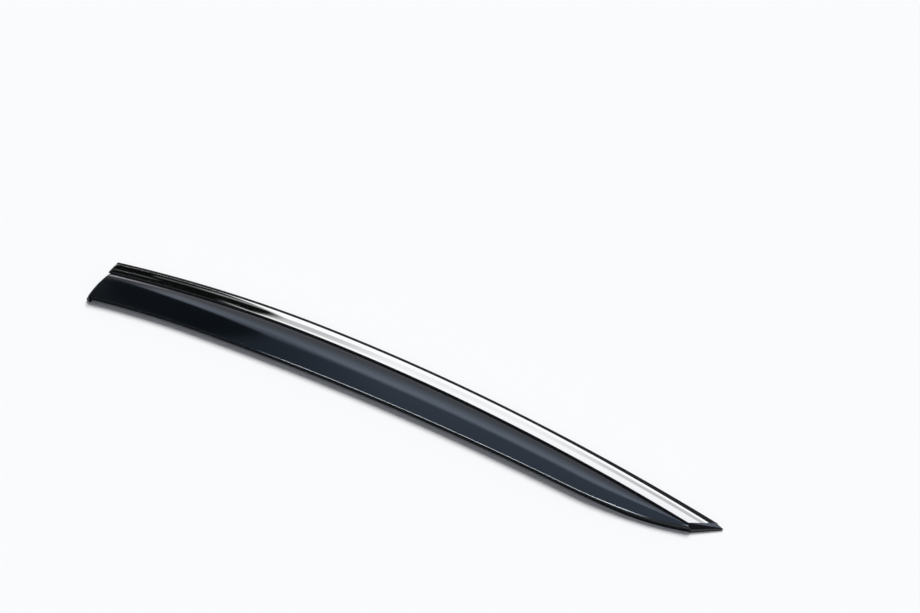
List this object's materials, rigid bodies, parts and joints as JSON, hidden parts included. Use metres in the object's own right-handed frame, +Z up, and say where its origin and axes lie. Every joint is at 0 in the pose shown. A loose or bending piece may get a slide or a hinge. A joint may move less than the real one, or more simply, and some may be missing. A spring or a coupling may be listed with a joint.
{
  "type": "window rain deflector",
  "caption": "Long arched rain deflector for a car's side window: smoked crowned blade with a turned-down lip, bright strip on its taped flange, pointed cap at one end.",
  "frame": {"origin": "bottom centre of the part's box as it lies face up on a flat surface", "axes": "+X from the square end to the pointed tip, +Y toward the rim with the bright strip, +Z up out of the outer face"},
  "size_m": [0.8538, 0.1111, 0.015],
  "materials": {
    "smoked_acrylic": "polished, dark smoked tint",
    "black_moulding": "satin black",
    "bright_metal": "mirror bright",
    "black_cap": "smooth satin black",
    "black_rubber": "matte black",
    "foam_tape": "dull foam"
  },
  "bodies": {
    "root": {"visor": "smoked_acrylic", "trim_moulding": "black_moulding", "bright_strip": "bright_metal", "tip_cap": "black_cap", "end_seal": "black_rubber", "mounting_tape": "foam_tape"}
  },
  "joints": []
}
